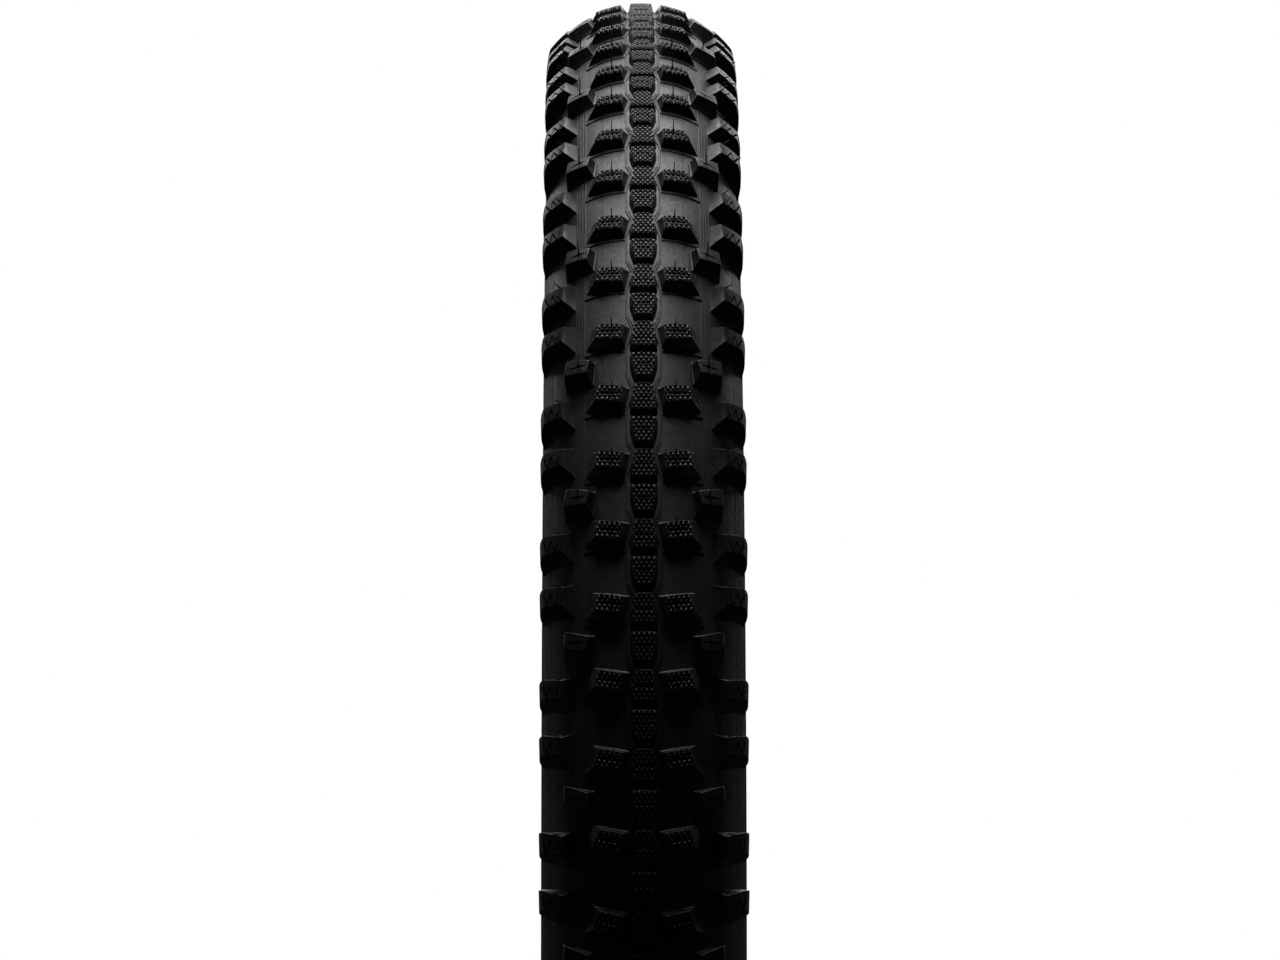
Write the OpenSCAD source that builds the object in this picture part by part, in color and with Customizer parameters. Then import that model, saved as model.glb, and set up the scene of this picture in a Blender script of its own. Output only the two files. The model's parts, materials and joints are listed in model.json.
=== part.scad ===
// Bicycle tire with a block tread, built up from its separate layers and rows of blocks.
// The origin is the wheel's centre, the axle runs along Y and +Z is up. Millimetres.
// Left is the +Y side, as seen by a rider who travels towards +X.

/* [Size] */
// Radius of the rim's bead seat, which the beads grip
bead_seat_r = 292; // [290:0.5:294]
// Radius over the centre blocks
tread_r = 358; // [357:0.5:360]
// Radius over the rubber between the centre blocks
crown_r = 355; // [354.5:0.5:355.5]
// Length of the cylindrical seat under each bead
seat_length = 5; // [4:0.2:5.4]

/* [Layers] */
// Radius of the casing's round section, at the outer face of its outer ply
casing_arc = 31.4; // [31.2:0.1:31.8]
// Thickness of one rubbered ply
ply_t = 0.35; // [0.3:0.05:0.5]
// Thickness of the puncture belt
belt_t = 0.5; // [0.4:0.1:0.8]
// Thickness of the chafer
chafer_t = 0.6; // [0.5:0.1:0.7]
// Thickness of the belt and the tread base together
tread_base_t = 1.7; // [1.5:0.1:1.9]
// Thickness of sidewall rubber outside the casing's outer ply
sidewall_t = 1.6; // [1.5:0.05:1.65]

/* [Beads] */
// Radius of the bead's steel wire
wire_r = 0.47; // [0.4:0.01:0.48]
// Distance between the centres of neighbouring turns of wire
wire_pitch = 0.98; // [0.97:0.01:1]
// Outer radius of the tape round the bundle of wire
wrap_r = 1.8; // [1.8:0.05:1.9]
// Thickness of that tape
wrap_t = 0.25; // [0.15:0.05:0.25]
// Radius of the hollow between the bead and the sidewall
hollow_r = 6; // [5:0.5:8]

/* [Tread] */
// Number of centre pitches round the tire, an even number so that the outer rows fit
pitch_count = 84; // [80:2:88]
// Arc of the section over the tops of the blocks
top_arc = 42; // [41:0.5:43]
// Height of the rail that joins the centre blocks
rail_height = 0.5; // [0.3:0.1:0.8]
// Depth to which blocks are rooted in the rubber below them
root_depth = 0.2; // [0.15:0.05:0.3]
// Length of a vent spew
spew_length = 2.4; // [1:0.1:3]
// Radius of a vent spew at its root
spew_r = 0.3; // [0.2:0.05:0.4]

/* [Hidden] */
$fn = 48;

// Sections are drawn in a plane of [radius from the axle, distance to the left].
// Angles in a section are measured from the outward radius towards the left.
casing_centre = [crown_r - tread_base_t - casing_arc, 0];
plies_t = 2 * ply_t;
lining_t = plies_t + chafer_t;
bead_stack = wrap_r + lining_t;
bead_gap = casing_arc + wrap_r;
bead_rise = bead_seat_r + bead_stack - casing_centre[0];
bead_centre = [bead_seat_r + bead_stack, sqrt(bead_gap * bead_gap - bead_rise * bead_rise)];
bead_angle = atan2(bead_centre[1], bead_rise);

// Room between pieces whose faces don't have the same facets, and between a ply and its
// own turned-up edge
bond_gap = 0.05;

// The hollow above the bead is a circle that touches the bead and the turned-up plies
turn_arc = casing_arc + bond_gap;
hollow_reach = turn_arc + hollow_r;
hollow_angle = bead_angle - acos(
    (pow(bead_gap, 2) + pow(hollow_reach, 2) - pow(wrap_r + hollow_r, 2))
    / (2 * bead_gap * hollow_reach));
hollow_centre = polar(casing_centre, hollow_reach, hollow_angle);

// Angles of the casing's section at which the layers end, all multiples of its step
section_step = 4;
belt_edge = 48;
tread_edge = 80;
outer_ply_edge = 92;
inner_ply_edge = 104;
chafer_edge = 120;
sidewall_edge = 124;
chafer_inner_edge = 128;
rib_edges = [112, 116];
rib_height = 0.5;

// Every length along the tread is an arc at the radius over the centre blocks
pitch_length = 2 * PI * tread_r / pitch_count;

function polar(centre, radius, angle) = centre + radius * [cos(angle), sin(angle)];
function direction(from, to) = atan2(to[1] - from[1], to[0] - from[0]);
function reversed(list) = [for (i = [len(list) - 1:-1:0]) list[i]];

// One line from several that each begin where the last one ends
function joined(lines) = [for (i = [0:len(lines) - 1], j = [min(i, 1):len(lines[i]) - 1]) lines[i][j]];

// Points of an arc: its ends, and each multiple of a step between them
function arc(centre, radius, from, to, step = section_step) =
    let (low = min(from, to), high = max(from, to),
        inside = [for (i = [ceil(low / step):floor(high / step)])
            if (i * step > low && i * step < high) i * step])
    [for (angle = concat([from], from < to ? inside : reversed(inside), [to]))
        polar(centre, radius, angle)];

// Turn a section round the axle
module ring() {
    rotate([-90, 0, 0]) rotate_extrude($fn = 360) children();
}

// Draw a left-hand piece on the right
module on_right() {
    mirror([0, 1, 0]) children();
}

// A layer between two radii of the casing's section
module casing_band(inner, outer, from, to) {
    polygon(concat(
        arc(casing_centre, inner, from, to),
        arc(casing_centre, outer, to, from)));
}

// The line of a face that runs down inside the casing, under the left bead and up its outer
// side. depth is its distance from the bead wrap, and it ends at an angle on the sidewall.
to_casing = direction(bead_centre, casing_centre) + 360;
to_hollow = direction(bead_centre, hollow_centre);
from_bead = direction(hollow_centre, bead_centre) + 360;
from_casing = direction(hollow_centre, casing_centre) + 360;
bead_step = 15;
function face_inside(depth, from) = arc(casing_centre, casing_arc - depth, from, bead_angle);
function face_under(depth) = arc(bead_centre, wrap_r + depth, to_casing, to_hollow, bead_step);
function face_outside(depth, edge) = joined([
    arc(hollow_centre, hollow_r - depth, from_bead, from_casing, bead_step),
    arc(casing_centre, turn_arc + depth, hollow_angle, edge)]);
function turned_face(depth, from, edge) =
    joined([face_inside(depth, from), face_under(depth), face_outside(depth, edge)]);
function both_sides(line) =
    joined([[for (point = reversed(line)) [point[0], -point[1]]], line]);

module casing_ply(near, far, edge) {
    ring() polygon(concat(
        both_sides(turned_face(near, 0, edge)),
        reversed(both_sides(turned_face(far, 0, edge)))));
}

module casing_ply_inner() {
    color([0.13, 0.12, 0.12]) casing_ply(ply_t, plies_t, inner_ply_edge);
}

module casing_ply_outer() {
    color([0.16, 0.15, 0.14]) casing_ply(0, ply_t, outer_ply_edge);
}

// Seven turns of wire, one in the middle and six round it
module bead_core_shape() {
    ring() {
        translate(bead_centre) circle(r = wire_r);
        for (i = [0:5]) translate(polar(bead_centre, wire_pitch, 60 * i)) circle(r = wire_r);
    }
}

module bead_core_left() {
    color([0.6, 0.5, 0.3]) bead_core_shape();
}

module bead_core_right() {
    color([0.6, 0.5, 0.3]) on_right() bead_core_shape();
}

module bead_wrap_shape() {
    ring() translate(bead_centre) difference() {
        circle(r = wrap_r - bond_gap);
        circle(r = wrap_r - bond_gap - wrap_t);
    }
}

module bead_wrap_left() {
    color([0.25, 0.24, 0.2]) bead_wrap_shape();
}

module bead_wrap_right() {
    color([0.25, 0.24, 0.2]) on_right() bead_wrap_shape();
}

// The wedge between the wrap, the ply that comes down and the ply that turns up. Its three
// faces follow those three, and each tip is cut off where the wedge becomes thin.
filler_top_tip = 1.8;
filler_side_tip = 1;
function turn_of(length, radius) = length / radius * 180 / PI;

module bead_filler_shape() {
    near_casing = casing_arc + bond_gap;
    near_hollow = hollow_r + bond_gap;
    near_wrap = wrap_r + bond_gap;
    ring() polygon(concat(
        arc(casing_centre, near_casing,
            bead_angle - turn_of(filler_side_tip, near_casing),
            hollow_angle + turn_of(filler_top_tip, near_casing)),
        arc(hollow_centre, near_hollow,
            from_casing - turn_of(filler_top_tip, near_hollow),
            from_bead + turn_of(filler_side_tip, near_hollow), bead_step),
        arc(bead_centre, near_wrap,
            to_hollow - turn_of(filler_side_tip, near_wrap),
            to_casing - 360 + turn_of(filler_side_tip, near_wrap), bead_step)));
}

module bead_filler_left() {
    color([0.08, 0.08, 0.08]) bead_filler_shape();
}

module bead_filler_right() {
    color([0.08, 0.08, 0.08]) on_right() bead_filler_shape();
}

module puncture_belt() {
    color([0.2, 0.19, 0.17]) ring()
        casing_band(casing_arc, casing_arc + belt_t, -belt_edge, belt_edge);
}

// The chafer wraps the plies at the bead. Its foot has square corners, and the flat
// between them is the seat that bears on the rim.
module chafer_shape() {
    toe = bead_centre[1] - seat_length / 2;
    heel = bead_centre[1] + seat_length / 2;
    foot_angle = acos(seat_length / 2 / bead_stack);
    ring() polygon(concat(
        turned_face(plies_t, chafer_inner_edge, chafer_edge),
        joined([
            reversed(face_outside(lining_t, chafer_edge)),
            arc(bead_centre, bead_stack, to_hollow, 90 + foot_angle, bead_step)]),
        [[bead_seat_r, heel], [bead_seat_r, toe]],
        joined([
            arc(bead_centre, bead_stack, 270 - foot_angle, to_casing, bead_step),
            reversed(face_inside(lining_t, chafer_inner_edge))])));
}

module chafer_left() {
    color([0.06, 0.06, 0.06]) chafer_shape();
}

module chafer_right() {
    color([0.06, 0.06, 0.06]) on_right() chafer_shape();
}

// Sidewall rubber fills from the plies' turned-up edges, and from the chafer, to its outer
// face, which has a low rib to show that the tire sits evenly on the rim
module sidewall_shape() {
    outer = casing_arc + sidewall_t;
    ring() polygon(concat(
        arc(casing_centre, casing_arc, tread_edge, outer_ply_edge),
        arc(casing_centre, turn_arc + ply_t, outer_ply_edge, inner_ply_edge),
        arc(casing_centre, turn_arc + plies_t, inner_ply_edge, chafer_edge),
        arc(casing_centre, turn_arc + lining_t, chafer_edge, sidewall_edge),
        arc(casing_centre, outer, sidewall_edge, rib_edges[1]),
        [polar(casing_centre, outer + rib_height, (rib_edges[0] + rib_edges[1]) / 2)],
        arc(casing_centre, outer, rib_edges[0], tread_edge)));
}

module sidewall_left() {
    color([0.07, 0.07, 0.07]) sidewall_shape();
}

module sidewall_right() {
    color([0.07, 0.07, 0.07]) on_right() sidewall_shape();
}

module tread_base() {
    outer = casing_arc + tread_base_t;
    color([0.1, 0.1, 0.1]) ring() polygon(concat(
        arc(casing_centre, outer, -tread_edge, tread_edge),
        arc(casing_centre, casing_arc, tread_edge, belt_edge),
        arc(casing_centre, casing_arc + belt_t, belt_edge, -belt_edge),
        arc(casing_centre, casing_arc, -belt_edge, -tread_edge)));
}

// Radius of the rubber between the blocks, and of the blocks' tops, at a distance to the side
function base_r(side) = casing_centre[0] + sqrt(pow(crown_r - casing_centre[0], 2) - side * side);
function top_r(side) = tread_r - top_arc + sqrt(pow(top_arc, 2) - side * side);

// A point at a length along the tread, a distance to the left and a radius
function on_tread(along, side, radius) =
    let (angle = along / tread_r * 180 / PI)
    [radius * cos(angle), side, radius * sin(angle)];
function on_top(along, side) = on_tread(along, side, top_r(side));
function on_base(along, side, lift) = on_tread(along, side, base_r(side) + lift);

// Triangles of closed solids, each a chain of four-cornered rings with a cap at both ends
function quad(a, b, c, d) = [[a, b, c], [a, c, d]];
function chain_faces(rings, first) = concat(
    quad(first, first + 1, first + 2, first + 3),
    [for (r = [0:rings - 2], i = [0:3], face = quad(
        first + 4 * r + i, first + 4 * (r + 1) + i,
        first + 4 * (r + 1) + (i + 1) % 4, first + 4 * r + (i + 1) % 4)) face],
    quad(first + 4 * rings - 1, first + 4 * rings - 2, first + 4 * rings - 3, first + 4 * rings - 4));

// Many copies of one block round the tire. Every block is a function of the length along
// the tread at which its pitch begins, and gives its rings in one list of points.
module block_row(blocks) {
    rings = len(blocks[0]) / 4;
    polyhedron(
        points = [for (block = blocks, point = block) point],
        faces = [for (i = [0:len(blocks) - 1], face = chain_faces(rings, i * rings * 4)) face]);
}

// One ring of a centre block, across the tread
function centre_ring(along, slope, half_width, lip) = [
    on_base(along + slope, -half_width - lip, rail_height - root_depth),
    on_base(along + slope, half_width + lip, rail_height - root_depth),
    on_top(along, half_width),
    on_top(along, -half_width)
];

block_lip = 0.8;
wide_half = 3.95;
narrow_half = 2.9;
long_block = [1.5, 6.4, 12.1];
short_block = [15.3, 20.4, 25.2];

function long_centre_block(start) = concat(
    centre_ring(start + long_block[0], -block_lip, wide_half, block_lip),
    centre_ring(start + long_block[1], 0, wide_half, block_lip),
    centre_ring(start + long_block[2], block_lip, narrow_half, block_lip));

function short_centre_block(start) = concat(
    centre_ring(start + short_block[0], -block_lip, narrow_half, block_lip),
    centre_ring(start + short_block[1], 0, wide_half, block_lip),
    centre_ring(start + short_block[2], block_lip, wide_half, block_lip));

module centre_blocks_long() {
    color([0.14, 0.14, 0.14])
        block_row([for (i = [0:pitch_count - 1]) long_centre_block(i * pitch_length)]);
}

module centre_blocks_short() {
    color([0.17, 0.17, 0.17])
        block_row([for (i = [0:pitch_count - 1]) short_centre_block(i * pitch_length)]);
}

// The rail is a closed ring, narrow beside the inner blocks and wide between them
rail_stations = [[2.3, 6.1], [11, 3.8], [17.2, 5.9]];

function rail_ring(along, half_width) = [
    on_base(along, -half_width - block_lip / 2, -root_depth),
    on_base(along, half_width + block_lip / 2, -root_depth),
    on_base(along, half_width, rail_height),
    on_base(along, -half_width, rail_height)
];

module centre_rail() {
    stations = len(rail_stations);
    rings = pitch_count * stations;
    color([0.12, 0.12, 0.12]) polyhedron(
        points = [for (i = [0:pitch_count - 1], station = rail_stations,
            point = rail_ring(i * pitch_length + station[0], station[1])) point],
        faces = [for (r = [0:rings - 1], i = [0:3], face = quad(
            4 * r + i, 4 * ((r + 1) % rings) + i,
            4 * ((r + 1) % rings) + (i + 1) % 4, 4 * r + (i + 1) % 4)) face]);
}

// A side block is a chain of rings that runs outwards. A ring of it has the low and high
// lengths along the tread at the base and at the top, and the side distance of each.
function side_ring(start, base, base_side, top, top_side) = [
    on_base(start + base[0], base_side, -root_depth),
    on_top(start + top[0], top_side),
    on_top(start + top[1], top_side),
    on_base(start + base[1], base_side, -root_depth)
];

inner_feet = [[2.4, 11.8], [5.6, 14.8]];
inner_foot_sides = [5.4, 18.4];
inner_tops = [[5.1, 10.9], [7.9, 13.4]];
inner_top_sides = [6.9, 15.8];

function inner_block(start) = [for (end = [0, 1], point = side_ring(
    start, inner_feet[end], inner_foot_sides[end],
    inner_tops[end], inner_top_sides[end])) point];

module inner_blocks_shape() {
    block_row([for (i = [0:pitch_count - 1]) inner_block(i * pitch_length)]);
}

module inner_blocks_left() {
    color([0.13, 0.13, 0.13]) inner_blocks_shape();
}

module inner_blocks_right() {
    color([0.13, 0.13, 0.13]) on_right() inner_blocks_shape();
}

// Outer and shoulder blocks repeat over two pitches
outer_feet = [[-10, 0.2], [-7.6, 3.6]];
outer_foot_sides = [16.5, 26.6];
outer_tops = [[-7.2, -2.6], [-4.6, 1.9]];
outer_top_sides = [19.1, 26.1];

function outer_block(start) = [for (end = [0, 1], point = side_ring(
    start, outer_feet[end], outer_foot_sides[end],
    outer_tops[end], outer_top_sides[end])) point];

module outer_blocks_shape() {
    block_row([for (i = [0:2:pitch_count - 1]) outer_block(i * pitch_length)]);
}

module outer_blocks_left() {
    color([0.13, 0.13, 0.13]) outer_blocks_shape();
}

module outer_blocks_right() {
    color([0.13, 0.13, 0.13]) on_right() outer_blocks_shape();
}

// A shoulder block begins as a ramp. Its first ring is the foot of the ramp, its second the
// ramp's head, where the top begins, and its third the end that faces outwards.
shoulder_centres = [15.2, 35.1];
ramp_foot_span = [-7, 5.2];
ramp_foot_side = 22.7;
shoulder_feet = [[-5.4, 5.4], [-2.4, 6.6]];
shoulder_foot_sides = [27, 32.4];
shoulder_tops = [[-3.2, 3.2], [-1.5, 5.6]];
shoulder_top_sides = [27.1, 34.3];

function ramp_foot(start) = [
    on_base(start + ramp_foot_span[0], ramp_foot_side, -root_depth),
    on_base(start + ramp_foot_span[0], ramp_foot_side, root_depth),
    on_base(start + ramp_foot_span[1], ramp_foot_side, root_depth),
    on_base(start + ramp_foot_span[1], ramp_foot_side, -root_depth)
];

function shoulder_block(start) = concat(
    ramp_foot(start),
    [for (end = [0, 1], point = side_ring(
        start, shoulder_feet[end], shoulder_foot_sides[end],
        shoulder_tops[end], shoulder_top_sides[end])) point]);

module shoulder_blocks_shape() {
    block_row([for (i = [0:2:pitch_count - 1], centre = shoulder_centres)
        shoulder_block(i * pitch_length + centre)]);
}

module shoulder_blocks_left() {
    color([0.13, 0.13, 0.13]) shoulder_blocks_shape();
}

module shoulder_blocks_right() {
    color([0.13, 0.13, 0.13]) on_right() shoulder_blocks_shape();
}

// A vent spew is a hair that stands out from the top of each outer block
spew_along = -3.9;
spew_side = 21.9;
spew_tip = 0.5;

function spew_corner(along, side, lift, i, half) = on_tread(
    along + half * cos(90 * i), side + half * sin(90 * i), top_r(side) + lift);
function spew_ring(along, side, lift, half) = [
    for (i = [0:3]) spew_corner(along, side, lift, i, half)
];

function spew(along, side) = concat(
    spew_ring(along, side, -root_depth, spew_r),
    spew_ring(along, side, spew_length, spew_r * spew_tip));

module vent_spews() {
    color([0.1, 0.1, 0.1]) block_row([for (i = [0:2:pitch_count - 1], side = [-spew_side, spew_side])
        spew(i * pitch_length + spew_along, side)]);
}

bead_core_left();
bead_core_right();
bead_wrap_left();
bead_wrap_right();
bead_filler_left();
bead_filler_right();
casing_ply_inner();
casing_ply_outer();
puncture_belt();
chafer_left();
chafer_right();
sidewall_left();
sidewall_right();
tread_base();
centre_rail();
centre_blocks_long();
centre_blocks_short();
inner_blocks_left();
inner_blocks_right();
outer_blocks_left();
outer_blocks_right();
shoulder_blocks_left();
shoulder_blocks_right();
vent_spews();
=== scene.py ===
"""Looks of a bicycle tire: knurled and siped blocks, turned layers of rubber and cord, vent hairs."""

import json
import math

import bmesh
import bpy
import numpy as np
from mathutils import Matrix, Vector


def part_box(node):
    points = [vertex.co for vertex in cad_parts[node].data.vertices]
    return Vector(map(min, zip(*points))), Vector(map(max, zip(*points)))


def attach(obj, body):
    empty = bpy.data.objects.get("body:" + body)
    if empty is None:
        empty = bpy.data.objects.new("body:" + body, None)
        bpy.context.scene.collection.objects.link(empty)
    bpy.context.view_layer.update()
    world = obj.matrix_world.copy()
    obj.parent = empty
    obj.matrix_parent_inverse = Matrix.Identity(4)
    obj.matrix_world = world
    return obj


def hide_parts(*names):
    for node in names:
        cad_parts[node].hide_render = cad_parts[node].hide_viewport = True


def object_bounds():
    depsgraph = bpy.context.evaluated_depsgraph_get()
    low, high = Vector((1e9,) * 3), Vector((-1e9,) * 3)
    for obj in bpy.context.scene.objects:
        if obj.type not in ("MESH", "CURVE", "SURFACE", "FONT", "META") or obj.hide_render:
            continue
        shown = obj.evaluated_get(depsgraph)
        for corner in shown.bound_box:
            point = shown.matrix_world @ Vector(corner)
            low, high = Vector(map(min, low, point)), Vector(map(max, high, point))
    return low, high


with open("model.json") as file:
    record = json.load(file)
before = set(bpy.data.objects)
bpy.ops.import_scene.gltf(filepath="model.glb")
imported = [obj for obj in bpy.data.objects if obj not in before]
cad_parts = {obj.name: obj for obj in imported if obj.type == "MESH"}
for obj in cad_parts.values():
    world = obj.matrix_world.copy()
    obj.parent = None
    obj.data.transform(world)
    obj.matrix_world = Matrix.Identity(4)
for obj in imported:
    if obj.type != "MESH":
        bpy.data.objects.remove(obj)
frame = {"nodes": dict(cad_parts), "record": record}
cad_low, cad_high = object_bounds()

# ---------------------------------------------------------------- sizes, in millimetres
MM = 0.001
PITCHES = 84
BLOCK_HEIGHT = 3.0
BASE_ARC = 33.1          # radius of the section over the tread base
TOP_ARC = 42.0           # radius of the section over the tops of the blocks
SIDE_ARC = 33.0          # radius at which distances to the side are laid flat
ROOT = 0.3               # how far blocks reach into the rubber below
CROWN_R = round(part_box("tread_base")[1].x / MM, 1)
TREAD_R = CROWN_R + BLOCK_HEIGHT
CASING_R = CROWN_R - BASE_ARC
TOP_GAP = CASING_R - (TREAD_R - TOP_ARC)
PITCH = 2 * math.pi * TREAD_R / PITCHES

# Thicknesses of the layers, and radii of the section's curves
BEAD_MOUNT = frame["record"]["mounts"][0]
SEAT_R = BEAD_MOUNT["dims"]["r_mm"]
SEAT_LENGTH = BEAD_MOUNT["dims"]["length_mm"]
PLY = 0.35
CHAFER = 0.6
SIDEWALL = 1.6
BELT = 0.5
CASING_ARC = 31.4        # the outer face of the outer ply
WRAP_R = 1.8             # a bead in its tape
HOLLOW_R = 6.0           # the hollow curve from a bead up to the sidewall
BOND_GAP = 0.05          # between the outer ply and its own turned-up edge
SWELL = 0.55             # how much wider than round the section is at its sides

# Angles of the casing's section, in degrees from the outward radius
BELT_EDGE = 48
TREAD_EDGE = 80
OUTER_PLY_EDGE = 92
INNER_PLY_EDGE = 104
CHAFER_EDGE = 120
SIDEWALL_EDGE = 124
CHAFER_INNER_EDGE = 128
RIM_RIB = 114


# ---------------------------------------------------------------- from the flat tread to the tire
def top_side(side):
    """Where a point of a block's top lies on the flat tread, from its distance to the left."""
    side = np.asarray(side, float)
    return SIDE_ARC * np.arctan2(side, np.sqrt(TOP_ARC**2 - side**2) - TOP_GAP)


def base_side(side):
    """The same for a point on the rubber between the blocks."""
    return SIDE_ARC * np.arcsin(np.asarray(side, float) / BASE_ARC)


def flat_top(corners):
    """Corners [along, distance to the left] of a block's top, laid flat."""
    along, side = np.array(corners, float).T
    return np.stack([along, top_side(side)], 1)


def flat_base(corners):
    """The same for its foot."""
    along, side = np.array(corners, float).T
    return np.stack([along, base_side(side)], 1)


def on_tire(points):
    """Points of the flat tread (along, side, height in mm) as points on the tire, in metres."""
    along, side, height = np.asarray(points, float).T
    turn = side / SIDE_ARC
    top = np.sqrt(TOP_ARC**2 - (TOP_GAP * np.sin(turn)) ** 2) - TOP_GAP * np.cos(turn)
    reach = BASE_ARC + height / BLOCK_HEIGHT * (top - BASE_ARC)
    radius = CASING_R + reach * np.cos(turn)
    angle = along / TREAD_R
    return MM * np.stack([radius * np.cos(angle), reach * np.sin(turn), radius * np.sin(angle)], 1)


# ---------------------------------------------------------------- outlines, all convex and anticlockwise
def grown(outline, distance):
    """The outline with every edge moved outwards."""
    ahead = np.roll(outline, -1, 0) - outline
    normal = np.stack([ahead[:, 1], -ahead[:, 0]], 1) / np.linalg.norm(ahead, axis=1)[:, None]
    before = np.roll(normal, 1, 0)
    return outline + distance * (before + normal) / (1 + (before * normal).sum(1))[:, None]


def rounded(outline, radius, steps=4):
    """The outline with a curve in place of each corner."""
    made = []
    for i, corner in enumerate(outline):
        arms = []
        for other in (outline[i - 1], outline[(i + 1) % len(outline)]):
            reach = min(radius, 0.45 * np.linalg.norm(other - corner))
            arms.append((other - corner) / np.linalg.norm(other - corner) * reach)
        for share in np.linspace(0, 1, steps):
            made.append(corner + arms[0] * (1 - share) ** 2 + arms[1] * share**2)
    return np.array(made)


def clipped(outline, normal, limit):
    """The part of the outline on the near side of a line."""
    made = []
    for i, here in enumerate(outline):
        there = outline[(i + 1) % len(outline)]
        a = here @ normal - limit
        b = there @ normal - limit
        if a <= 0:
            made.append(here)
        if a * b < 0:
            made.append(here + (there - here) * a / (a - b))
    return np.array(made)


def edges_of(outline):
    """Outward normal and distance of each edge."""
    ahead = np.roll(outline, -1, 0) - outline
    normal = np.stack([ahead[:, 1], -ahead[:, 0]], 1) / np.linalg.norm(ahead, axis=1)[:, None]
    return normal, (outline * normal).sum(1)


# ---------------------------------------------------------------- flat solids
CURVE_STEP = 2.0         # how far apart a flat solid is cut, to follow the round section


def chain(rings):
    """A closed solid through rings of equal count, as a bmesh."""
    solid = bmesh.new()
    loops = [[solid.verts.new(point) for point in ring] for ring in rings]
    count = len(loops[0])
    for low, high in zip(loops, loops[1:]):
        for i in range(count):
            solid.faces.new([low[i], low[(i + 1) % count], high[(i + 1) % count], high[i]])
    solid.faces.new(loops[0][::-1])
    solid.faces.new(loops[-1])
    return solid


def level(outline, height):
    """An outline lifted to a height."""
    return [(along, side, height) for along, side in outline]


def arrays_of(solid):
    """Points and triangles of a bmesh, which is freed."""
    bmesh.ops.triangulate(solid, faces=solid.faces[:])
    solid.verts.index_update()
    points = np.array([vert.co for vert in solid.verts], float).reshape(-1, 3)
    triangles = np.array([[vert.index for vert in face.verts] for face in solid.faces], int)
    solid.free()
    return points, triangles


def joined(parts):
    """Several (points, triangles) as one."""
    points = np.concatenate([part[0] for part in parts])
    starts = np.cumsum([0] + [len(part[0]) for part in parts[:-1]])
    triangles = np.concatenate([part[1] + start for part, start in zip(parts, starts)])
    return points, triangles


def mesh_object(name, points, triangles):
    """A new object that holds the triangles."""
    mesh = bpy.data.meshes.new(name)
    mesh.from_pydata(points.tolist(), [], triangles.tolist())
    mesh.update()
    made = bpy.data.objects.new(name, mesh)
    bpy.context.scene.collection.objects.link(made)
    return made


def cut(solid, cutters):
    """A bmesh with each cutter taken away, as a new bmesh."""
    for cutter in cutters:
        body = mesh_object("flat_body", *arrays_of(solid))
        tool = mesh_object("flat_tool", *arrays_of(cutter))
        change = body.modifiers.new("cut", "BOOLEAN")
        change.operation = "DIFFERENCE"
        change.solver = "EXACT"
        change.object = tool
        result = body.evaluated_get(bpy.context.evaluated_depsgraph_get())
        solid = bmesh.new()
        solid.from_mesh(result.to_mesh())
        bmesh.ops.dissolve_limit(solid, angle_limit=0.01, verts=solid.verts[:], edges=solid.edges[:])
        for used in (body, tool):
            bpy.data.objects.remove(used)
    return solid


def sliced(solid):
    """The solid with its faces cut every few millimetres to the side, so that it can be bent."""
    sides = [vert.co.y for vert in solid.verts]
    first = math.floor(min(sides) / CURVE_STEP) + 1
    last = math.ceil(max(sides) / CURVE_STEP)
    for i in range(first, last):
        geometry = solid.verts[:] + solid.edges[:] + solid.faces[:]
        place = (0, i * CURVE_STEP, 0)
        bmesh.ops.bisect_plane(solid, geom=geometry, plane_co=place, plane_no=(0, 1, 0))
    return solid


# ---------------------------------------------------------------- tread blocks
LIP_HEIGHT = 0.3
PLATE_HEIGHT = 0.3
EDGE = 0.16              # size of the rounding at a block's top edge
SIPE_FLOOR = 1.1         # height of a slot's floor
SLOT = 0.28              # width of the fine slots along the inner and outer blocks


def block_body(top, foot, lip, corner=0.6):
    """A block with a low lip round its foot, a hollow curve above the lip and a rounded top edge."""
    def wall(height, wider):
        share = (height - LIP_HEIGHT) / (BLOCK_HEIGHT - LIP_HEIGHT)
        return level(rounded(grown(foot + (top - foot) * share, wider), corner), height)

    # Heights, and how far the wall stands outside the straight line from foot to top
    profile = [
        (-ROOT, lip),
        (LIP_HEIGHT - 0.12, lip),
        (LIP_HEIGHT, lip - 0.12),
        (LIP_HEIGHT + 0.02, 0.34),
        (LIP_HEIGHT + 0.14, 0.12),
        (LIP_HEIGHT + 0.4, 0.0),
        (BLOCK_HEIGHT - EDGE, 0.0),
        (BLOCK_HEIGHT - 0.35 * EDGE, -0.12 * EDGE),
        (BLOCK_HEIGHT, -0.7 * EDGE),
    ]
    return chain([wall(height, wider) for height, wider in profile])


def sipe(along, side, length, width, turn=0.0, lens=False):
    """Outline and cutter of a slot in a block's top, about its middle. turn is its angle from straight
    across, in degrees. A lens is widest in its middle and has narrow blunt ends."""
    half = length / 2
    if lens:
        shares = np.linspace(-1, 1, 9)
        low = [(-width / 2 * (1 - share**2) - 0.05, half * share) for share in shares]
        high = [(width / 2 * (1 - share**2) + 0.05, half * share) for share in shares]
        outline = np.array(low[::-1] + high)
    else:
        outline = np.array([(-width / 2, half), (-width / 2, -half), (width / 2, -half), (width / 2, half)])
        outline = rounded(outline, width / 2, 3)
    cosine = math.cos(math.radians(turn))
    sine = math.sin(math.radians(turn))
    outline = outline @ np.array([[cosine, sine], [-sine, cosine]])
    outline = outline + np.array([along, float(top_side(side))])
    cutter = chain([level(outline, SIPE_FLOOR), level(outline, BLOCK_HEIGHT + 1)])
    return outline, cutter


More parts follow.
